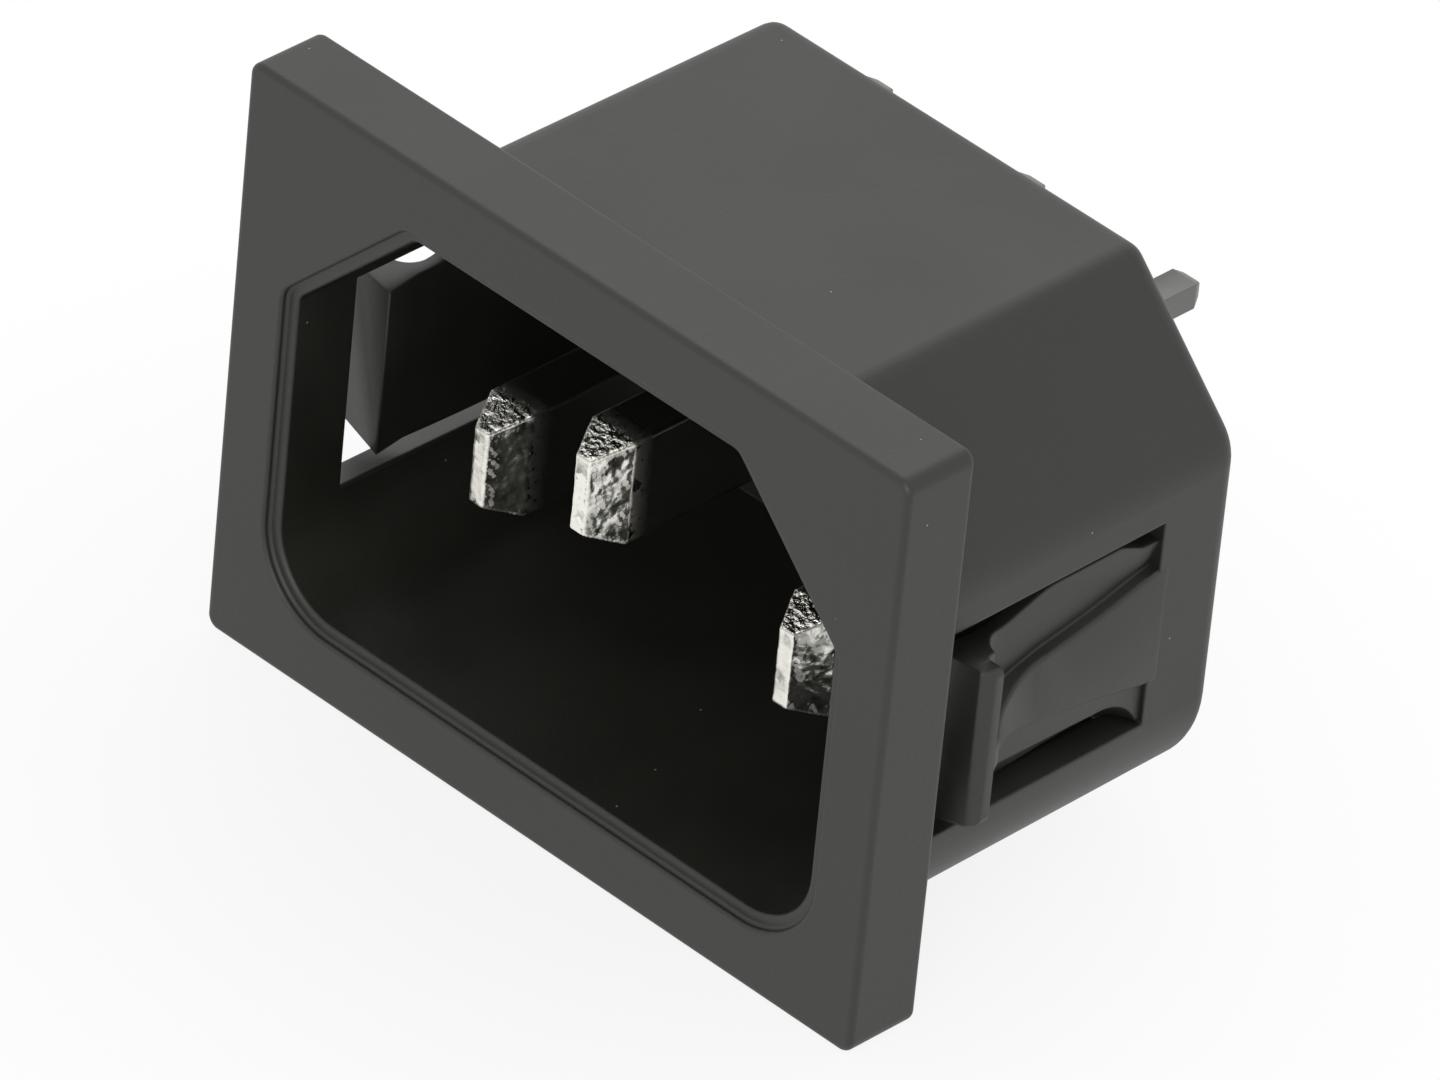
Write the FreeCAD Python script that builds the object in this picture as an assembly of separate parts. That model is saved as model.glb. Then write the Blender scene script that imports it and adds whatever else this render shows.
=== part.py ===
import FreeCAD, Part
import math
import os

V = FreeCAD.Vector

# Snap-in appliance inlet. Lengths in millimetres.
# X runs along the flange, the plug goes in along +Y, Z points to the earth blade's side.
# The origin is the centre of the flange's back face, where it meets the panel.

# How far a cutter reaches past the wall that it cuts, and how exactly an edge is found by its place
CLEAR, NEAR = 0.5, 0.001

# Flange
FLANGE_W, FLANGE_H, FLANGE_T = 29.9, 22.3, 3.0
FLANGE_CORNER_R, FLANGE_EDGE_R = 0.5, 0.22
LIP_W, LIP_D, LIP_CHAMFER = 0.45, 0.3, 0.08

# Shroud behind the flange, drafted from the flange to the rear wall
BODY_X, BODY_TOP, BODY_BOTTOM = 13.35, 9.35, -9.8
BODY_CUT = 5.1
BODY_DRAFT = 0.12
BODY_REAR = 14.7
BODY_TOP_R, BODY_SIDE_R, BODY_BOTTOM_R, BODY_REAR_R = 1.0, 2.0, 4.1, 0.7

# Plug recess, drafted from the lip to the floor
CAVITY_X, CAVITY_TOP, CAVITY_BOTTOM = 12.25, 8.1, -8.4
CAVITY_CUT = 4.9
CAVITY_DRAFT = 0.15
CAVITY_FLOOR = 13.3
CAVITY_BOTTOM_R, CAVITY_TOP_R = 2.7, 0.5

# Windows in the side walls, each pair of values from the recess wall to the outer wall
WINDOW_Y, WINDOW_EDGE_R = (0.0, 11.4), 0.1
WINDOW_SILL, WINDOW_HEAD = (-5.4, -5.55), (2.85, 2.4)

# Snap latches, each pair of values from the free end to the root
ARM_FRONT, ARM_ROOT = 2.05, 11.36
ARM_INNER, ARM_OUTER = (12.7, 12.25), (13.1, 13.1)
# The plate's lower edge at two depths, its distance from the sill, and its curve into the root
ARM_LOW_X, ARM_LOW_NEAR, ARM_LOW_FAR = (12.2, 14.0), (-5.6, -4.78), (-2.5, -3.6)
ARM_SILL_GAP, ARM_ROOT_R = 0.12, 2.0
# The plate's upper edge: narrow behind the barb, wide along the middle, narrow again at the root
ARM_TOP, ARM_WAIST, ARM_SHOULDER = 1.35, (4.3, 1.42), (6.3, 2.12)
ARM_REAR, ARM_NECK = (9.6, 2.15), (10.7, 1.68)
ARM_WAIST_R, ARM_NECK_R = 2.5, 0.8

# Barb: a bar across the free end, with a leaning underside
BARB_X, BARB_T, BARB_CUT, BARB_HOLLOW_R = 14.5, 1.1, 0.35, 0.9
BARB_LOW, BARB_CORNER_R = (-5.18, -4.6), 0.25

# Ramp rib on each latch: a point on its hollow slope, where the slope ends, and its flaring flanks
RAMP_HOLLOW, RAMP_END, RAMP_FLUSH = (13.53, 4.475), 6.4, 13.25
RIB_LOW, RIB_HIGH = (-2.75, -3.7), (-1.0, 0.35)
RIB_BEND_Y, RIB_BEND_FLARE = 0.6, 0.3
RIB_FLANK, RIB_SUNK, RIB_EDGE_R = 0.35, 0.3, 0.15

# Contacts
PITCH = 14.0
LINE_Z, EARTH_Z = -2.1, 1.9
BLADE_X, BLADE_Z, BLADE_EDGE_R = 2.0, 4.0, 0.12
LINE_TIP, EARTH_TIP = 0.85, -1.8
TIP_LENGTH, TIP_X, TIP_Z = 1.35, 0.6, 2.9
STRIP_T, BEND_R = 1.0, 0.3
TAIL_Z, TAIL_W, TAIL_END = 5.2, 1.15, 18.65
TAIL_TIP, TAIL_CUT = 0.4, 0.22
TAIL_FOOT, TAIL_SHOULDER, TAIL_NECK = 0.4, 0.4, 0.9


def front(u, v, w):
    """Drawing plane seen from the front: X, Z, and Y for depth."""
    return V(u, w, v)


def plan(u, v, w):
    """Drawing plane seen from above: X, Y, and Z for depth."""
    return V(u, v, w)


def side(u, v, w):
    """Drawing plane seen from the side: Y, Z, and X for depth."""
    return V(w, u, v)


def outline(corners, plane, depth):
    """Closed wire through (u, v, radius) corners, each one rounded by a tangent arc."""
    starts, ends, middles = [], [], []
    for i, (u, v, radius) in enumerate(corners):
        corner = V(u, v, 0)
        back = (V(*corners[i - 1][:2], 0) - corner).normalize()
        ahead = (V(*corners[(i + 1) % len(corners)][:2], 0) - corner).normalize()
        half = back.getAngle(ahead) / 2
        reach = radius / math.tan(half)
        starts.append(corner + back * reach)
        ends.append(corner + ahead * reach)
        middles.append(corner + (back + ahead).normalize() * (radius / math.sin(half) - radius))
    edges = []
    for i, (u, v, radius) in enumerate(corners):
        here, there = starts[i], ends[i]
        if radius:
            points = [plane(p.x, p.y, depth) for p in (here, middles[i], there)]
            edges.append(Part.Arc(*points).toShape())
        ahead = starts[(i + 1) % len(corners)]
        if there.distanceToPoint(ahead) > 1e-6:
            edges.append(Part.makeLine(plane(there.x, there.y, depth), plane(ahead.x, ahead.y, depth)))
    return Part.Wire(edges)


def prism(corners, plane, start, end):
    """Solid between two depths of a drawing plane."""
    return Part.Face(outline(corners, plane, start)).extrude(plane(0, 0, end - start))


def rectangle(u, v, radius=0):
    return [(u[0], v[0], radius), (u[1], v[0], radius), (u[1], v[1], radius), (u[0], v[1], radius)]


def inlet_section(half, top, bottom, cut, radii, grow):
    """The inlet's section, grown on all sides: a rectangle with its two earth-side corners cut off."""
    half, top, bottom = half + grow, top + grow, bottom - grow
    cut += grow * (2 - math.sqrt(2))
    top_r, side_r, bottom_r = [radius + grow for radius in radii]
    return [
        (-half, bottom, bottom_r), (half, bottom, bottom_r),
        (half, top - cut, side_r), (half - cut, top, top_r),
        (-half + cut, top, top_r), (-half, top - cut, side_r),
    ]


def edges_within(shape, low, high):
    """Edges that lie wholly inside the box between two corners."""
    box = FreeCAD.BoundBox(*low, *high)
    box.enlarge(NEAR)
    return [e for e in shape.Edges if all(box.isInside(p) for p in e.discretize(5))]


def edges_at(shape, y):
    """Edges that lie in the plane at this Y."""
    return edges_within(shape, V(-FLANGE_W, y, -FLANGE_H), V(FLANGE_W, y, FLANGE_H))


def edges_along_y(shape, low, high):
    """Edges between two depths that run mostly from front to back."""
    found = edges_within(shape, V(-FLANGE_W, low, -FLANGE_H), V(FLANGE_W, high, FLANGE_H))
    return [e for e in found if e.BoundBox.YLength > max(e.BoundBox.XLength, e.BoundBox.ZLength)]


def make_flange():
    plate = prism(
        rectangle((-FLANGE_W / 2, FLANGE_W / 2), (-FLANGE_H / 2, FLANGE_H / 2), FLANGE_CORNER_R),
        front, -FLANGE_T, 0,
    )
    return plate.makeFillet(FLANGE_EDGE_R, edges_at(plate, -FLANGE_T) + edges_at(plate, 0))


def body_section(grow):
    radii = (BODY_TOP_R, BODY_SIDE_R, BODY_BOTTOM_R)
    return inlet_section(BODY_X, BODY_TOP, BODY_BOTTOM, BODY_CUT, radii, grow)


def make_shroud():
    root = outline(body_section(0), front, -FLANGE_T / 2)
    rear = outline(body_section(-BODY_DRAFT), front, BODY_REAR)
    shroud = Part.makeLoft([root, rear], True, True)
    return shroud.makeFillet(BODY_REAR_R, edges_at(shroud, BODY_REAR))


def cavity_section(grow):
    radii = (CAVITY_TOP_R, CAVITY_TOP_R, CAVITY_BOTTOM_R)
    return inlet_section(CAVITY_X, CAVITY_TOP, CAVITY_BOTTOM, CAVITY_CUT, radii, grow)


def make_cavity():
    mouth = outline(cavity_section(0), front, -FLANGE_T)
    floor = outline(cavity_section(-CAVITY_DRAFT), front, CAVITY_FLOOR)
    recess = Part.makeLoft([mouth, floor], True, True)
    lip = prism(cavity_section(LIP_W), front, -FLANGE_T - CLEAR, -FLANGE_T + LIP_D)
    return recess.fuse(lip)


def window_heights(x):
    """Sill and head of a window at one depth of the wall."""
    share = (x - CAVITY_X) / (BODY_X - CAVITY_X)
    return [near + (far - near) * share for near, far in (WINDOW_SILL, WINDOW_HEAD)]


def make_window():
    """Cut-out for a latch, with a sill that falls and a head that drops towards the outer wall."""
    inside, outside = CAVITY_X - CLEAR, BODY_X + CLEAR
    (sill, head), (outer_sill, outer_head) = window_heights(inside), window_heights(outside)
    corners = [
        (inside, sill, 0), (outside, outer_sill, 0), (outside, outer_head, 0), (inside, head, 0),
    ]
    return prism(corners, front, *WINDOW_Y)


def mirrored(shape):
    return shape.mirror(V(0, 0, 0), V(1, 0, 0))


def window_inner_edges(shell):
    """Edges where the two windows break through the recess wall."""
    heights = window_heights(CAVITY_X - CAVITY_DRAFT)
    low, high = zip((CAVITY_X - CAVITY_DRAFT, CAVITY_X), WINDOW_Y, (WINDOW_SILL[0], heights[1]))
    right = edges_within(shell, low, high)
    return right + edges_within(shell, (-high[0], *low[1:]), (-low[0], *high[1:]))


def lip_edges(shell, y):
    """Edges of the step round the recess mouth, at this Y."""
    return edges_within(shell, V(-BODY_X, y, BODY_BOTTOM), V(BODY_X, y, BODY_TOP))


def make_shell():
    """Flange and shroud, with the recess and both windows cut out and their edges rounded."""
    window = make_window()
    shell = make_flange().fuse(make_shroud()).cut(make_cavity())
    shell = shell.cut(window).cut(mirrored(window))
    shell = shell.makeFillet(WINDOW_EDGE_R, window_inner_edges(shell))
    for y in (-FLANGE_T, -FLANGE_T + LIP_D):
        shell = shell.makeChamfer(LIP_CHAMFER, lip_edges(shell, y))
    return shell


def make_housing(contacts):
    housing = make_shell()
    for contact in contacts:
        housing = housing.cut(contact)
    return housing.removeSplitter()


def rib_section(x, grow):
    """Rib seen from the side at one depth: it flares from the barb to the root along two arcs."""
    start, end = ARM_FRONT + BARB_CUT, ARM_ROOT
    bend = start + (end - start) * RIB_BEND_Y
    low, low_root = RIB_LOW[0] - grow, RIB_LOW[1] - grow
    high, high_root = RIB_HIGH[0] + grow, RIB_HIGH[1] + grow
    low_bend = low + (low_root - low) * RIB_BEND_FLARE
    high_bend = high + (high_root - high) * RIB_BEND_FLARE
    upper = Part.Arc(V(x, start, high), V(x, bend, high_bend), V(x, end, high_root))
    lower = Part.Arc(V(x, end, low_root), V(x, bend, low_bend), V(x, start, low))
    return Part.Wire([
        upper.toShape(), Part.makeLine(V(x, end, high_root), V(x, end, low_root)),
        lower.toShape(), Part.makeLine(V(x, start, low), V(x, start, high)),
    ])


def make_rib():
    """Ramp behind the barb, with leaning flanks and a hollow slope that runs out flush with the wall."""
    sunk, flush = ARM_OUTER[0] - RIB_SUNK, RAMP_FLUSH
    flared = Part.makeLoft([rib_section(sunk, RIB_FLANK), rib_section(BARB_X, 0)], True, True)
    start = ARM_FRONT + BARB_T
    points = [
        V(flush, RAMP_END, 0), V(flush, ARM_ROOT, 0), V(sunk, ARM_ROOT, 0),
        V(sunk, start, 0), V(BARB_X, start, 0),
    ]
    slope = Part.Arc(points[-1], V(*RAMP_HOLLOW, 0), points[0]).toShape()
    lines = [Part.makeLine(a, b) for a, b in zip(points, points[1:])]
    profile = Part.Face(Part.Wire([slope] + lines)).extrude(V(0, 0, FLANGE_H))
    profile.translate(V(0, 0, -FLANGE_H / 2))
    rib = flared.common(profile)
    crest = [e for e in edges_along_y(rib, start, ARM_ROOT) if e.BoundBox.XMin > sunk + NEAR]
    return rib.makeFillet(RIB_EDGE_R, crest)


def beyond(point, normal):
    """Block that fills the far side of a plane."""
    size = 2 * FLANGE_W
    block = Part.makeBox(size, size, size, V(-size / 2, -size / 2, 0))
    block.Placement = FreeCAD.Placement(point, FreeCAD.Rotation(V(0, 0, 1), normal))
    return block


def plate_outline(x, low):
    """Plate of a latch seen from the side at one depth, running on past its root."""
    past = WINDOW_Y[1] + ARM_ROOT_R
    return outline(
        [
            (ARM_FRONT, low[0], 0), (WINDOW_Y[1], low[1], ARM_ROOT_R),
            (WINDOW_Y[1], low[1] - past, 0), (past, low[1] - past, 0), (past, ARM_NECK[1], 0),
            (*ARM_NECK, ARM_NECK_R), (*ARM_REAR, ARM_NECK_R),
            (*ARM_SHOULDER, ARM_WAIST_R), (*ARM_WAIST, ARM_WAIST_R), (ARM_FRONT, ARM_TOP, 0),
        ],
        side, x,
    )


def make_arm():
    """Thin plate that leans outwards to its free end, where a barb stands across it."""
    behind = ARM_FRONT + BARB_T
    thickness = prism(
        [
            (ARM_INNER[1], ARM_ROOT, 0), (ARM_INNER[0], ARM_FRONT, 0), (BARB_X - BARB_CUT, ARM_FRONT, 0),
            (BARB_X, ARM_FRONT + BARB_CUT, 0), (BARB_X, behind, 0),
            (ARM_OUTER[0], behind, BARB_HOLLOW_R), (ARM_OUTER[1], ARM_ROOT, 0),
        ],
        plan, -FLANGE_H / 2, FLANGE_H / 2,
    )
    edges = zip(ARM_LOW_X, (ARM_LOW_NEAR, ARM_LOW_FAR))
    plate = Part.makeLoft([plate_outline(x, low) for x, low in edges], True, True)
    sill = V(CAVITY_X, 0, WINDOW_SILL[0] + ARM_SILL_GAP)
    slope = V(BODY_X - CAVITY_X, 0, WINDOW_SILL[1] - WINDOW_SILL[0])
    plate = plate.cut(beyond(sill, V(0, 1, 0).cross(slope)))
    barb = prism(
        [
            (ARM_LOW_X[0], BARB_LOW[0], 0), (BARB_X, BARB_LOW[1], BARB_CORNER_R),
            (BARB_X, ARM_TOP, BARB_CORNER_R), (ARM_LOW_X[0], ARM_TOP, 0),
        ],
        front, ARM_FRONT, behind,
    )
    barb = barb.cut(beyond(V(0, ARM_FRONT, ARM_TOP - BARB_CUT), V(0, -1, 1)))
    return thickness.common(plate.fuse(barb)).removeSplitter()


def make_latch():
    """Flexing arm of the right-hand window with the ramp that pushes it in."""
    return make_arm().fuse(make_rib()).removeSplitter()


def make_blade(x, z, tip):
    """Blade with a tip chamfered on four sides."""
    def frame(width, height, y):
        corners = rectangle((x - width / 2, x + width / 2), (z - height / 2, z + height / 2))
        return outline(corners, front, y)
    point = Part.makeLoft(
        [frame(TIP_X, TIP_Z, tip), frame(BLADE_X, BLADE_Z, tip + TIP_LENGTH)], True, True
    )
    shank = Part.Face(frame(BLADE_X, BLADE_Z, tip + TIP_LENGTH))
    blade = point.fuse(shank.extrude(V(0, BODY_REAR - tip - TIP_LENGTH, 0))).removeSplitter()
    return blade.makeFillet(BLADE_EDGE_R, edges_along_y(blade, tip + TIP_LENGTH, BODY_REAR))


def make_tail(x, z):
    """Strip folded up the rear wall and out again, necked down to a solder tail with a blunt point."""
    low, rear, top = z - BLADE_Z / 2 + TAIL_FOOT, BODY_REAR + STRIP_T, TAIL_Z + STRIP_T / 2
    point = TAIL_END - TAIL_TIP
    strip = prism(
        [
            (BODY_REAR, low, 0), (rear, low, 0), (rear, top - STRIP_T, BEND_R),
            (point, top - STRIP_T, 0), (TAIL_END, top - STRIP_T + TAIL_CUT, 0),
            (TAIL_END, top - TAIL_CUT, 0), (point, top, 0), (BODY_REAR, top, BEND_R + STRIP_T),
        ],
        side, x - BLADE_X / 2, x + BLADE_X / 2,
    )
    shoulder, neck = rear + TAIL_SHOULDER, rear + TAIL_NECK
    wide, slim, tip = BLADE_X / 2, TAIL_W / 2, TAIL_W / 2 - TAIL_CUT
    right = [(wide, BODY_REAR - CLEAR), (wide, shoulder), (slim, neck), (slim, point), (tip, TAIL_END)]
    corners = [(x + u, v, 0) for u, v in right] + [(x - u, v, 0) for u, v in reversed(right)]
    return strip.common(prism(corners, plan, -BODY_X, BODY_X))


def make_contact(x, z, tip):
    return make_blade(x, z, tip).fuse(make_tail(x, z)).removeSplitter()


contact_line = make_contact(PITCH / 2, LINE_Z, LINE_TIP)
contact_neutral = make_contact(-PITCH / 2, LINE_Z, LINE_TIP)
contact_earth = make_contact(0, EARTH_Z, EARTH_TIP)
latch_right = make_latch()

nodes = {
    "housing": make_housing([contact_line, contact_neutral, contact_earth]),
    "contact_line": contact_line,
    "contact_neutral": contact_neutral,
    "contact_earth": contact_earth,
    "snap_latch_right": latch_right,
    "snap_latch_left": mirrored(latch_right),
}

os.makedirs("parts", exist_ok=True)
for name, shape in nodes.items():
    print(name, shape.ShapeType, len(shape.Solids), shape.isValid(), round(shape.Volume, 2))
    shape.Solids[0].exportStep(f"parts/{name}.step")
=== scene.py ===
import math
import bpy
from mathutils import Matrix, Vector


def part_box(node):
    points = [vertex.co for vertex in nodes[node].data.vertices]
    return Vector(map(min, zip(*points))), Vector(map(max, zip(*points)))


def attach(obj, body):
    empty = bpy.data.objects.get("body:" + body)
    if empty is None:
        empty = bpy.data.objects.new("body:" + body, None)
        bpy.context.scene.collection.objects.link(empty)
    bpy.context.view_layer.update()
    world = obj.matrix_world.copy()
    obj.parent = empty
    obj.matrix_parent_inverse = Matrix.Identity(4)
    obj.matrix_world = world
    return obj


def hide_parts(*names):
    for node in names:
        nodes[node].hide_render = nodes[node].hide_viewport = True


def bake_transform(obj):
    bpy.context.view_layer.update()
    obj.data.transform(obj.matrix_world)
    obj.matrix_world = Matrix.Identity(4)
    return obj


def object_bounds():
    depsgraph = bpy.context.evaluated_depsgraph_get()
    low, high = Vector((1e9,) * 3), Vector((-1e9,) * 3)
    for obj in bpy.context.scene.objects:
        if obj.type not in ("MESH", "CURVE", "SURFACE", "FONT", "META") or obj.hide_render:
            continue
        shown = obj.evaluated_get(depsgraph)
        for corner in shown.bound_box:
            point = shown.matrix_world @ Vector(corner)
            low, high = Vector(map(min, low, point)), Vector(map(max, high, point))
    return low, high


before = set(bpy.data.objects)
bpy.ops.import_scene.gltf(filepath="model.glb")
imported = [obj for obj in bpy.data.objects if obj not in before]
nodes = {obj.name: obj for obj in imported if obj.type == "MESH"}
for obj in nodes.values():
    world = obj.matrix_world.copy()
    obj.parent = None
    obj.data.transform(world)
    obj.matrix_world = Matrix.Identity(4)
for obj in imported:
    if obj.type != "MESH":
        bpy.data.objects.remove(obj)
cad_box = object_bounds()
bpy.ops.object.select_all(action="DESELECT")

# Housing: square flange, shroud and plug recess, one injection moulding in black plastic.
# The flange lies against the panel from outside. The eroded walls of the mould leave a fine
# satin grain on it, with faint flow marks and a few specks of dust.
PLASTIC_DARK, PLASTIC_PALE = (0.0092, 0.0088, 0.0062, 1), (0.0140, 0.0134, 0.0098, 1)
PLASTIC_RUBBED, PLASTIC_DUST = (0.022, 0.021, 0.018, 1), (0.38, 0.37, 0.34, 1)
PLASTIC_ROUGHNESS, PLASTIC_SHEEN_RANGE = 0.48, 0.03
PLASTIC_SPECULAR = 0.65
FLOW_SCALE, FLOW_DETAIL = 170.0, 4.0
FLOW_DARK, FLOW_PALE = 0.35, 0.65
FLOW_SMOOTH, FLOW_ROUGH = 0.3, 0.7
GRAIN_SCALE, GRAIN_DETAIL, GRAIN_HEIGHT = 9000.0, 2.0, 0.000006
PIT_SCALE, PIT_DETAIL = 2600.0, 3.0
PIT_SPARED, PIT_WORN = 0.40, 0.62
WEAR_LEAST, WEAR_MOST = 0.15, 0.75
DUST_SCALE, DUST_SHARE = 900.0, 0.30
DUST_FULL, DUST_EDGE = 0.020, 0.034
EDGE_RADIUS, EDGE_SAMPLES = 0.00014, 6
EDGE_FLAT, EDGE_TURNED = 0.995, 0.86


def shade(tree, kind, settings=None, **choices):
    """A shader node with its sockets set to values or linked from other sockets."""
    made = tree.nodes.new(kind)
    for name, value in choices.items():
        setattr(made, name, value)
    for name, value in (settings or {}).items():
        if isinstance(value, bpy.types.NodeSocket):
            tree.links.new(value, made.inputs[name])
        else:
            made.inputs[name].default_value = value
    return made


def spread(tree, value, low, high, to_low=0.0, to_high=1.0):
    """The part of a value between low and high, stretched to a new range."""
    ranged = shade(tree, "ShaderNodeMapRange", {
        "Value": value, "From Min": low, "From Max": high, "To Min": to_low, "To Max": to_high,
    })
    return ranged.outputs["Result"]


def worked_out(tree, operation, first, second, **choices):
    """The result of arithmetic on two values."""
    made = shade(tree, "ShaderNodeMath", {0: first, 1: second}, operation=operation, **choices)
    return made.outputs[0]


def mixed(tree, share, first, second):
    """Two colours mixed by a share: a Mix node keeps its colours on sockets 6 and 7."""
    made = shade(tree, "ShaderNodeMix", {0: share, 6: first, 7: second}, data_type="RGBA")
    return made.outputs[2]


def noise(tree, place, scale, detail):
    """A soft random pattern, about 0.5 in the middle."""
    made = shade(tree, "ShaderNodeTexNoise", {"Vector": place, "Scale": scale, "Detail": detail})
    return made.outputs[0]


def edge_share(tree):
    """Where the surface lies close to an edge, from 0 to 1, and a normal that rounds that edge."""
    bevel = shade(tree, "ShaderNodeBevel", {"Radius": EDGE_RADIUS}, samples=EDGE_SAMPLES)
    rounded = bevel.outputs["Normal"]
    flat = shade(tree, "ShaderNodeNewGeometry").outputs["Normal"]
    facing = shade(tree, "ShaderNodeVectorMath", {0: rounded, 1: flat}, operation="DOT_PRODUCT")
    return spread(tree, facing.outputs["Value"], EDGE_FLAT, EDGE_TURNED), rounded


def moulded_plastic(name):
    """Black plastic with flow marks, rubbed edges, dust and a satin grain."""
    material = bpy.data.materials.new(name)
    material.use_nodes = True
    tree = material.node_tree
    place = shade(tree, "ShaderNodeTexCoord").outputs["Object"]
    flow = noise(tree, place, FLOW_SCALE, FLOW_DETAIL)
    grain = noise(tree, place, GRAIN_SCALE, GRAIN_DETAIL)
    pits = noise(tree, place, PIT_SCALE, PIT_DETAIL)
    dust = shade(tree, "ShaderNodeTexVoronoi", {"Vector": place, "Scale": DUST_SCALE}).outputs
    edge, rounded = edge_share(tree)

    # Flow marks from the mould, then rubbed edges, then a few specks of dust.
    colour = mixed(tree, spread(tree, flow, FLOW_DARK, FLOW_PALE), PLASTIC_DARK, PLASTIC_PALE)
    wear = spread(tree, pits, PIT_SPARED, PIT_WORN, WEAR_LEAST, WEAR_MOST)
    colour = mixed(tree, worked_out(tree, "MULTIPLY", edge, wear), colour, PLASTIC_RUBBED)
    speck = spread(tree, dust["Distance"], DUST_EDGE, DUST_FULL)
    chosen = worked_out(tree, "LESS_THAN", dust["Color"], DUST_SHARE)
    colour = mixed(tree, worked_out(tree, "MULTIPLY", speck, chosen), colour, PLASTIC_DUST)

    smoothest = PLASTIC_ROUGHNESS - PLASTIC_SHEEN_RANGE
    roughest = PLASTIC_ROUGHNESS + PLASTIC_SHEEN_RANGE
    roughness = spread(tree, flow, FLOW_SMOOTH, FLOW_ROUGH, smoothest, roughest)
    height = worked_out(tree, "ADD", grain, pits)
    bump = shade(tree, "ShaderNodeBump", {
        "Height": height, "Normal": rounded, "Strength": 1.0, "Distance": GRAIN_HEIGHT,
    })

    shader = tree.nodes["Principled BSDF"]
    shader.inputs["Specular IOR Level"].default_value = PLASTIC_SPECULAR
    tree.links.new(colour, shader.inputs["Base Color"])
    tree.links.new(roughness, shader.inputs["Roughness"])
    tree.links.new(bump.outputs["Normal"], shader.inputs["Normal"])
    return material


black_moulding = moulded_plastic("black_moulding")
for slot in nodes["housing"].material_slots:
    slot.material = black_moulding

# Contacts: line, neutral and earth, each one strip of brass, blanked, folded and nickel plated.
# The die leaves the chamfered blade ends hammered and bright. The strips are pressed into the
# housing's rear wall, and behind it each folds up and out again as a dull solder tail.
NICKEL_STRUCK, NICKEL_SMOOTH = (0.84, 0.83, 0.77, 1), (0.50, 0.50, 0.46, 1)
NICKEL_STAIN, NICKEL_TAIL = (0.30, 0.31, 0.27, 1), (0.16, 0.16, 0.152, 1)
# The rim colour is a painted highlight along the sharp edges of the struck blade ends.
NICKEL_PAINTED_HIGHLIGHT = (0.93, 0.91, 0.84, 1)
STRUCK_ROUGHNESS, SMOOTH_ROUGHNESS = 0.16, 0.26
RIM_HIGHLIGHT_ROUGHNESS, TAIL_ROUGHNESS = 0.50, 0.42
STRUCK_SCALE, STRUCK_DETAIL, STRUCK_HEIGHT = 4800.0, 3.0, 0.00020
STRUCK_LEAST, SLOPE_START, SLOPE_FULL = 0.03, 0.3, 0.8
STAIN_SCALE, STAIN_DETAIL = 1500.0, 4.0
STAIN_START, STAIN_FULL = 0.46, 0.66
ROLL_SCALE, ROLL_DETAIL, ROLL_HEIGHT = 9000.0, 3.0, 0.000004
ROLL_STRETCH = (1.0, 0.06, 1.0)
RIM_HIGHLIGHT_START, RIM_HIGHLIGHT_FULL = 0.505, 0.535
TAIL_START, TAIL_FULL = 0.0150, 0.0168
MERGE_DISTANCE, MERGE_ANGLE = 1e-7, math.radians(0.5)
BLADE_ROUND, BLADE_ROUND_STEPS, BLADE_EDGE_ANGLE = 0.00011, 3, math.radians(25)
BLADE_VOXEL, BLADE_FLAT_ANGLE, BLADE_SMOOTH_ANGLE = 0.00006, math.radians(1.0), math.radians(50)
STRUCK_LENGTH, STRUCK_FADE = 0.0022, 0.0009
DENT_SIZE, DENT_DEPTH = 0.00060, 0.00005
DIMPLE_SIZE, DIMPLE_DEPTH = 0.00024, 0.000012
MARK_MIDDLE = 0.5


def copy_of_node(node, name):
    """A merged copy of a CAD node, without its marks and with flat faces whole again, in edit mode."""
    piece = nodes[node].copy()
    piece.data = nodes[node].data.copy()
    piece.name = piece.data.name = name
    for key in list(piece.keys()):
        del piece[key]
    piece.parent = None
    bpy.context.scene.collection.objects.link(piece)
    bpy.ops.object.select_all(action="DESELECT")
    bpy.context.view_layer.objects.active = piece
    piece.select_set(True)
    bpy.ops.object.mode_set(mode="EDIT")
    bpy.ops.mesh.select_all(action="SELECT")
    bpy.ops.mesh.customdata_custom_splitnormals_clear()
    bpy.ops.mesh.remove_doubles(threshold=MERGE_DISTANCE)
    bpy.ops.mesh.dissolve_limited(angle_limit=MERGE_ANGLE)
    return piece


def use_modifier(piece, kind, **choices):
    """Adds a modifier to the active piece and applies it."""
    modifier = piece.modifiers.new(kind.lower(), kind)
    for name, value in choices.items():
        setattr(modifier, name, value)
    bpy.ops.object.modifier_apply(modifier=modifier.name)


def hammer_marks(name, size):
    """A cloudy pattern that pushes the metal in and out."""
    marks = bpy.data.textures.new(name, "CLOUDS")
    marks.noise_scale = size
    return marks


def struck_share(point, struck_end):
    """How much a point is marked by the die: 1 at the blade's end, 0 from struck_end on."""
    return max(0.0, min(1.0, (struck_end - point.co.y) / STRUCK_FADE))


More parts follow.
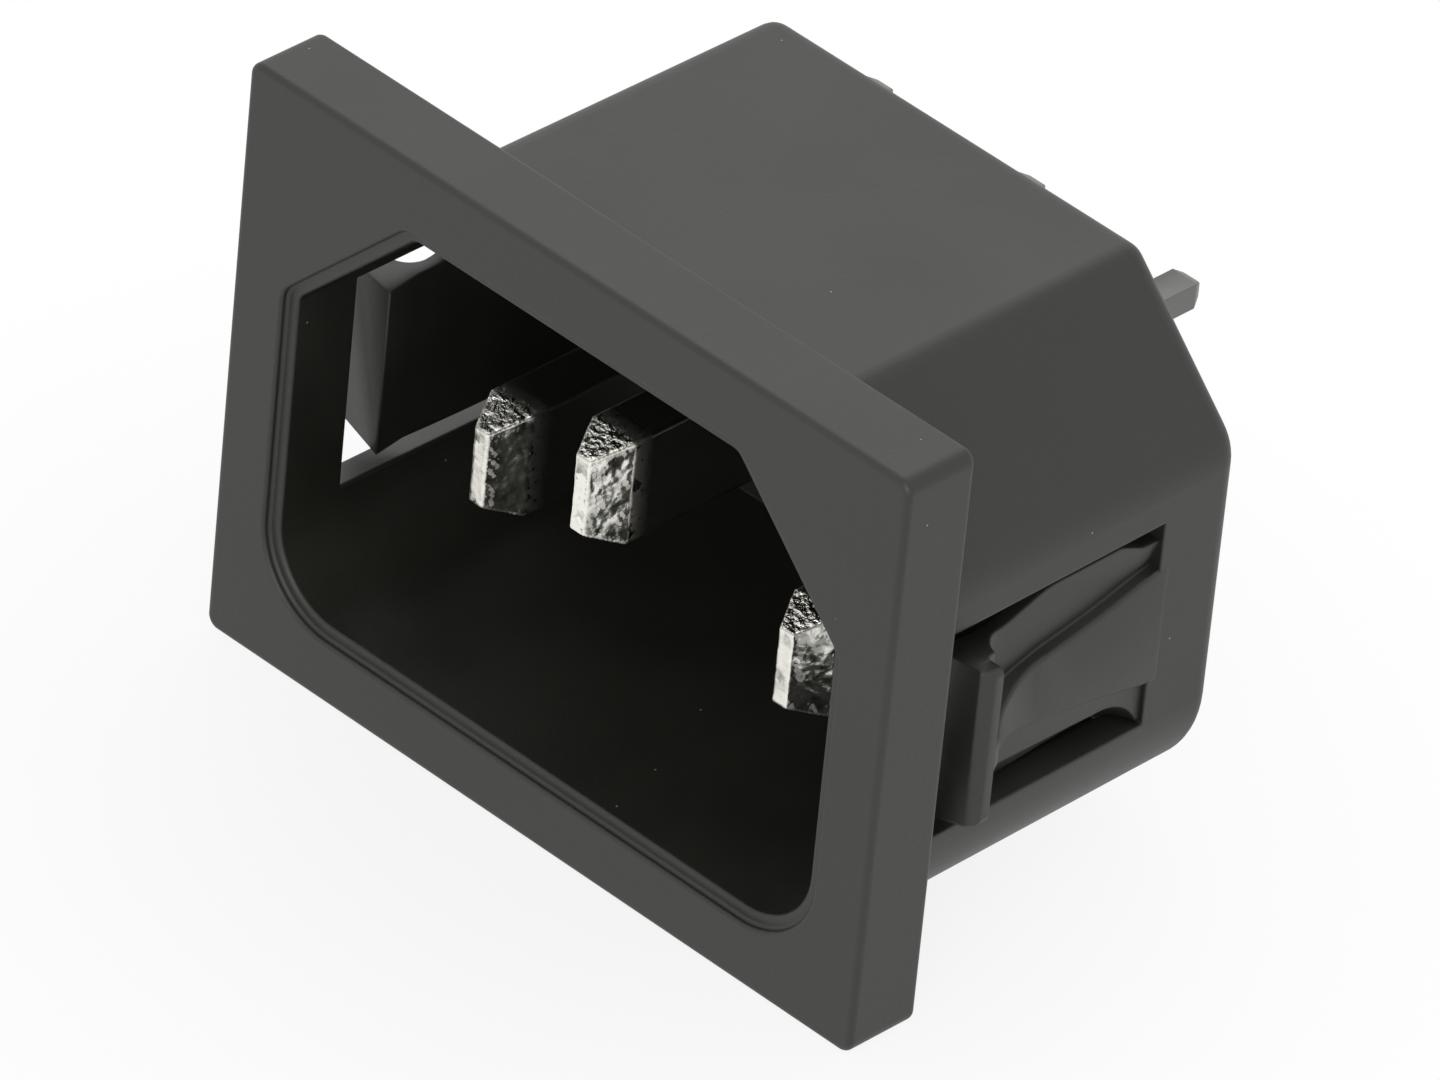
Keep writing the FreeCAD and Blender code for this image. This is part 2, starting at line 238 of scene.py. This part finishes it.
def plated_metal(name):
    """Nickel plate, hammered at the blade's end, rolled along the shank and dull on the tail."""
    material = bpy.data.materials.new(name)
    material.use_nodes = True
    tree = material.node_tree
    coordinates = shade(tree, "ShaderNodeTexCoord").outputs
    place = coordinates["Object"]
    along = shade(tree, "ShaderNodeMapping", {"Vector": place, "Scale": ROLL_STRETCH}).outputs[0]
    rolled = noise(tree, along, ROLL_SCALE, ROLL_DETAIL)
    stains = noise(tree, place, STAIN_SCALE, STAIN_DETAIL)
    grit = noise(tree, place, STRUCK_SCALE, STRUCK_DETAIL)
    struck = shade(tree, "ShaderNodeAttribute", attribute_name="struck").outputs["Fac"]
    depth = shade(tree, "ShaderNodeSeparateXYZ", {"Vector": place}).outputs["Y"]
    tail = spread(tree, depth, TAIL_START, TAIL_FULL)
    upward = shade(tree, "ShaderNodeSeparateXYZ", {"Vector": coordinates["Normal"]}).outputs["Z"]
    # The sharp edges of the struck end get a painted highlight in a pale colour.
    sharp = shade(tree, "ShaderNodeNewGeometry").outputs["Pointiness"]
    rim_highlight_share = worked_out(tree, "MULTIPLY", spread(tree, sharp, RIM_HIGHLIGHT_START, RIM_HIGHLIGHT_FULL), struck)

    # Bright stained blade end with a pale painted highlight along its sharp rims, then the smooth shank,
    # then the dull tail.
    stained = mixed(tree, spread(tree, stains, STAIN_START, STAIN_FULL), NICKEL_STRUCK, NICKEL_STAIN)
    colour = mixed(tree, struck, NICKEL_SMOOTH, stained)
    colour = mixed(tree, rim_highlight_share, colour, NICKEL_PAINTED_HIGHLIGHT)
    colour = mixed(tree, tail, colour, NICKEL_TAIL)
    roughness = spread(tree, struck, 0.0, 1.0, SMOOTH_ROUGHNESS, STRUCK_ROUGHNESS)
    for share, rough in ((rim_highlight_share, RIM_HIGHLIGHT_ROUGHNESS), (tail, TAIL_ROUGHNESS)):
        added = spread(tree, share, 0.0, 1.0, 0.0, rough - SMOOTH_ROUGHNESS)
        roughness = worked_out(tree, "ADD", roughness, added)

    # The die marks the sloped upper face most.
    sloped = spread(tree, upward, SLOPE_START, SLOPE_FULL, STRUCK_LEAST, 1.0)
    marked = worked_out(tree, "MULTIPLY", sloped, struck)
    dimpled = worked_out(tree, "MULTIPLY", grit, marked)
    streaks = shade(tree, "ShaderNodeBump", {
        "Height": rolled, "Strength": 1.0, "Distance": ROLL_HEIGHT,
    })
    bump = shade(tree, "ShaderNodeBump", {
        "Height": dimpled, "Normal": streaks.outputs["Normal"], "Strength": 1.0, "Distance": STRUCK_HEIGHT,
    })
    shader = tree.nodes["Principled BSDF"]
    shader.inputs["Metallic"].default_value = 1.0
    tree.links.new(colour, shader.inputs["Base Color"])
    tree.links.new(roughness, shader.inputs["Roughness"])
    tree.links.new(bump.outputs["Normal"], shader.inputs["Normal"])
    return material


plated_contact = plated_metal("plated_contact")
dents = hammer_marks("die_dents", DENT_SIZE)
dimples = hammer_marks("die_dimples", DIMPLE_SIZE)
for node in ("contact_line", "contact_neutral", "contact_earth"):
    low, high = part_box(node)
    struck_end = low.y + STRUCK_LENGTH
    contact = copy_of_node(node, node.replace("contact", "blade"))
    bpy.ops.object.mode_set(mode="OBJECT")
    use_modifier(contact, "BEVEL", width=BLADE_ROUND, segments=BLADE_ROUND_STEPS, limit_method="ANGLE",
                 angle_limit=BLADE_EDGE_ANGLE, use_clamp_overlap=True)
    use_modifier(contact, "REMESH", mode="VOXEL", voxel_size=BLADE_VOXEL)

    # The die's marks lie on the blade's end and fade out along the shank.
    hammered = contact.vertex_groups.new(name="hammered")
    for point in contact.data.vertices:
        share = struck_share(point, struck_end)
        if share > 0:
            hammered.add([point.index], share, "REPLACE")
    for texture, depth in ((dents, DENT_DEPTH), (dimples, DIMPLE_DEPTH)):
        use_modifier(contact, "DISPLACE", texture=texture, strength=depth, mid_level=MARK_MIDDLE,
                     texture_coords="LOCAL", vertex_group="hammered")

    # Behind them the flat sides are large faces again, and every face is then split in triangles.
    bpy.ops.object.mode_set(mode="EDIT")
    bpy.ops.mesh.select_mode(type="FACE")
    bpy.ops.mesh.select_all(action="DESELECT")
    bpy.ops.object.mode_set(mode="OBJECT")
    for face in contact.data.polygons:
        face.select = face.center.y > struck_end
    bpy.ops.object.mode_set(mode="EDIT")
    bpy.ops.mesh.dissolve_limited(angle_limit=BLADE_FLAT_ANGLE)
    bpy.ops.mesh.select_all(action="SELECT")
    bpy.ops.mesh.quads_convert_to_tris(quad_method="BEAUTY", ngon_method="BEAUTY")
    bpy.ops.object.mode_set(mode="OBJECT")
    bpy.ops.object.shade_smooth_by_angle(angle=BLADE_SMOOTH_ANGLE)
    struck = contact.data.attributes.new("struck", "FLOAT", "POINT")
    for point in contact.data.vertices:
        struck.data[point.index].value = struck_share(point, struck_end)
    contact.data.materials.clear()
    contact.data.materials.append(plated_contact)
    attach(contact, "housing")
    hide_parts(node)

# Snap latches: two thin arms in the shroud's side windows, moulded with the housing.
# Each is joined to the wall only at its rear end, so it bends inwards when the inlet is
# pushed through the panel, and its barb springs out behind the panel.
PLATE_OUTSIDE, PLATE_INSIDE, PLATE_LOW = 0.0131, 0.01275, -0.0042
PLATE_DROP = math.radians(1.9)
GROOVE_LOW, GROOVE_HIGH, GROOVE_DEPTH = -0.0020, 0.0010, 0.00036
RAMP_MIDDLE, RAMP_HALF, RAMP_TOP = -0.0024, 0.0013, 0.0009
NARROW_LENGTH, NARROW_DROP = 0.0036, 0.00066
BARB_REAR, BARB_ROOT, BARB_CREST, BARB_LOW = 0.00315, 0.0138, 0.0141, -0.0050
BARB_THINNER, BARB_OUT = 0.00037, 0.00016
BARB_CUT_LOW, BARB_CUT_RISE = 0.0009, 0.00035
TIP_IN, TIP_FORWARD = 0.00024, 0.00027
WALL_NEAR, ROOT_SUNK, ROOT_REACH = 0.0132, 0.000004, 0.00055
LIP_WIDTH, LIP_PROUD, LIP_REACH = 0.00002, 0.000013, 0.00027
BEND_STEP = 0.0004
BEND_START = 2 * BEND_STEP
LATCH_ROUND, LATCH_ROUND_STEPS, LATCH_EDGE_ANGLE = 0.00006, 2, math.radians(40)
LATCH_SMOOTH_ANGLE = math.radians(35)
PICK_WITHIN = 0.000004
WELD_WITHIN = PICK_WITHIN / 4


def slice_across(start, end):
    """Cuts what is selected across the arm's length, at even steps."""
    for i in range(1, round((end - start) / BEND_STEP)):
        bpy.ops.mesh.bisect(plane_co=(0, start + i * BEND_STEP, 0), plane_no=(0, 1, 0))


def select_points(piece, chosen):
    """In edit mode, selects the points whose place passes a test, and nothing else."""
    bpy.ops.mesh.select_mode(type="VERT")
    bpy.ops.mesh.select_all(action="DESELECT")
    bpy.ops.object.mode_set(mode="OBJECT")
    for point in piece.data.vertices:
        point.select = chosen(point.co)
    bpy.ops.object.mode_set(mode="EDIT")


def move_points(piece, by, chosen):
    """Moves the points whose place passes a test."""
    select_points(piece, chosen)
    bpy.ops.transform.translate(value=by)


for side, out in (("right", 1), ("left", -1)):
    node, body = f"snap_latch_{side}", f"latch_{side}"
    low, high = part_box(node)
    lip = high.y - LIP_WIDTH
    latch = copy_of_node(node, f"flexing_arm_{side}")
    bpy.ops.mesh.select_all(action="SELECT")
    slice_across(low.y + BEND_START, high.y)
    bpy.ops.mesh.select_all(action="SELECT")
    bpy.ops.mesh.bisect(plane_co=(0, lip, 0), plane_no=(0, 1, 0), threshold=WELD_WITHIN)

    # Towards the barb the ramp is narrower, because its upper edge falls in a soft S.
    bpy.ops.object.mode_set(mode="OBJECT")
    for point in latch.data.vertices:
        along = max(0.0, (point.co.y - BARB_REAR) / NARROW_LENGTH)
        above = (point.co.z - RAMP_MIDDLE) / RAMP_HALF
        on_ramp = out * point.co.x > PLATE_OUTSIDE - PICK_WITHIN and 0 < above and point.co.z < RAMP_TOP
        if on_ramp and along < 1:
            point.co.z -= NARROW_DROP * min(1.0, above) * (1 - along * along * (3 - 2 * along))
    bpy.ops.object.mode_set(mode="EDIT")

    # The plate's outer face falls away to the ramp, and its lower edge comes down to the sill.
    move_points(latch, (-out * GROOVE_DEPTH, 0, 0),
                lambda spot: abs(out * spot.x - PLATE_OUTSIDE) < PICK_WITHIN
                and spot.y > BARB_REAR and GROOVE_LOW < spot.z < GROOVE_HIGH)
    select_points(latch, lambda spot: out * spot.x < PLATE_INSIDE
                  and spot.z < PLATE_LOW and spot.y > BARB_REAR - PICK_WITHIN
                  and (spot.z > BARB_LOW or spot.y > BARB_REAR + BEND_STEP))
    bpy.ops.transform.rotate(value=-PLATE_DROP, orient_axis="X", center_override=(0, high.y, PLATE_LOW))

    # The arm's end face is turned outwards a little.
    move_points(latch, (-out * TIP_IN, -TIP_FORWARD, 0),
                lambda spot: out * spot.x < PLATE_INSIDE and spot.y < low.y + PICK_WITHIN)

    # The barb is a slim bar with a square top, and it reaches out past the wall.
    move_points(latch, (0, 0, BARB_CUT_RISE),
                lambda spot: out * spot.x > BARB_ROOT and spot.y < low.y + PICK_WITHIN
                and BARB_CUT_LOW < spot.z < BARB_CUT_LOW + BARB_CUT_RISE)
    bpy.ops.mesh.select_all(action="SELECT")
    bpy.ops.mesh.remove_doubles(threshold=WELD_WITHIN)
    move_points(latch, (0, -BARB_THINNER, 0),
                lambda spot: out * spot.x > BARB_ROOT and abs(spot.y - BARB_REAR) < PICK_WITHIN)
    move_points(latch, (out * BARB_OUT, 0, 0),
                lambda spot: out * spot.x > BARB_CREST and spot.y < BARB_REAR)

    # The root runs into the wall, and the ramp runs out level with it, in a fine lip.
    move_points(latch, (-out * ROOT_SUNK, ROOT_REACH, 0), lambda spot: spot.y > high.y - PICK_WITHIN)
    move_points(latch, (out * LIP_PROUD, 0, 0),
                lambda spot: out * spot.x > WALL_NEAR and abs(lip - spot.y) < PICK_WITHIN)
    move_points(latch, (0, LIP_REACH, 0), lambda spot: abs(lip - spot.y) < PICK_WITHIN)
    bpy.ops.object.mode_set(mode="OBJECT")
    use_modifier(latch, "BEVEL", width=LATCH_ROUND, segments=LATCH_ROUND_STEPS, limit_method="ANGLE",
                 angle_limit=LATCH_EDGE_ANGLE, use_clamp_overlap=True)
    bpy.ops.object.shade_smooth_by_angle(angle=LATCH_SMOOTH_ANGLE)
    latch.data.materials.clear()
    latch.data.materials.append(black_moulding)
    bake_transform(latch)
    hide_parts(node)

# Stage: a sheet of pale paper under the part, which fades to white away from it.
# One soft lamp stands high behind it on the left, one low in front on the right, and the
# pale room fills the rest.
FLOOR_HALF, FLOOR_GAP = 2.0, 0.00002
FLOOR_PALE, WHITE = (0.90, 0.90, 0.89, 1), (1, 1, 1, 1)
PAPER_ROUGHNESS, PAPER_SPECULAR = 0.9, 0.1
FADE_NEAR, FADE_FAR, FADE_LEAST = 0.013, 0.036, 0.84
ROOM_LIGHT = 0.62
LAMPS = (
    ("soft_back", (-0.45, 0.45, 0.60), 0.70, 0.9),
    ("soft_front", (0.45, -0.75, 0.30), 0.50, 2.5),
)


def seen_share(tree):
    """1 for what the camera sees, straight or in a mirror or glass, and 0 for soft light."""
    rays = shade(tree, "ShaderNodeLightPath").outputs
    seen = worked_out(tree, "ADD", rays["Is Camera Ray"], rays["Is Glossy Ray"])
    return worked_out(tree, "ADD", seen, rays["Is Transmission Ray"])


bpy.ops.mesh.primitive_plane_add(size=2 * FLOOR_HALF, location=(0, 0, cad_box[0][2] - FLOOR_GAP))
floor = bpy.context.object
floor.name = "paper_floor"
bpy.ops.object.transform_apply(location=True, rotation=True, scale=True)
paper = bpy.data.materials.new("pale_paper")
paper.use_nodes = True
tree = paper.node_tree
shader = tree.nodes["Principled BSDF"]
shader.inputs["Base Color"].default_value = FLOOR_PALE
shader.inputs["Roughness"].default_value = PAPER_ROUGHNESS
shader.inputs["Specular IOR Level"].default_value = PAPER_SPECULAR
place = shade(tree, "ShaderNodeTexCoord").outputs["Object"]
away = shade(tree, "ShaderNodeVectorMath", {0: place}, operation="LENGTH").outputs["Value"]
fade = spread(tree, away, FADE_NEAR, FADE_FAR, FADE_LEAST, 1.0)
white_share = worked_out(tree, "MULTIPLY", fade, seen_share(tree), use_clamp=True)
white = shade(tree, "ShaderNodeEmission", {"Color": WHITE, "Strength": 1.0})
blend = shade(tree, "ShaderNodeMixShader", {
    0: white_share, 1: shader.outputs[0], 2: white.outputs[0],
})
tree.links.new(blend.outputs[0], tree.nodes["Material Output"].inputs["Surface"])
floor.data.materials.append(paper)

room = bpy.data.worlds.new("pale_room")
room.use_nodes = True
tree = room.node_tree
strength = spread(tree, seen_share(tree), 0.0, 1.0, ROOM_LIGHT, 1.0)
tree.links.new(strength, tree.nodes["Background"].inputs["Strength"])
tree.nodes["Background"].inputs["Color"].default_value = WHITE
bpy.context.scene.world = room

for name, place, size, power in LAMPS:
    lamp = bpy.data.lights.new(name, "AREA")
    lamp.shape, lamp.size, lamp.energy = "SQUARE", size, power
    holder = bpy.data.objects.new(name, lamp)
    holder.location = place
    holder.rotation_euler = (-Vector(place)).to_track_quat("-Z", "Y").to_euler()
    holder.visible_camera = False
    bpy.context.scene.collection.objects.link(holder)

# Camera: a long lens above the front right corner, held a little askew, as in the photograph.
# It looks at the middle of the part from about half a metre away.
CAMERA_AZIMUTH, CAMERA_ELEVATION, CAMERA_TILT = 42.0615, 35.2306, 5.7303
CAMERA_AIM = Vector((0.0025885, 0.0021826, -0.0001610))
CAMERA_DISTANCE, CAMERA_LENS, CAMERA_SENSOR = 0.54385, 425.0, 36.0
CLIP_NEAR, CLIP_FAR = 0.01, 20.0
lens = bpy.data.cameras.new("camera")
lens.lens, lens.sensor_width, lens.sensor_fit = CAMERA_LENS, CAMERA_SENSOR, "HORIZONTAL"
lens.clip_start, lens.clip_end = CLIP_NEAR, CLIP_FAR
camera = bpy.data.objects.new("camera", lens)
turned = (
    Matrix.Rotation(math.radians(CAMERA_AZIMUTH), 4, "Z")
    @ Matrix.Rotation(math.radians(90 - CAMERA_ELEVATION), 4, "X")
    @ Matrix.Rotation(math.radians(CAMERA_TILT), 4, "Z")
)
set_back = Matrix.Translation((0, 0, CAMERA_DISTANCE))
camera.matrix_world = Matrix.Translation(CAMERA_AIM) @ turned @ set_back
bpy.context.scene.collection.objects.link(camera)
bpy.context.scene.camera = camera
bpy.context.scene.view_settings.view_transform = "Standard"
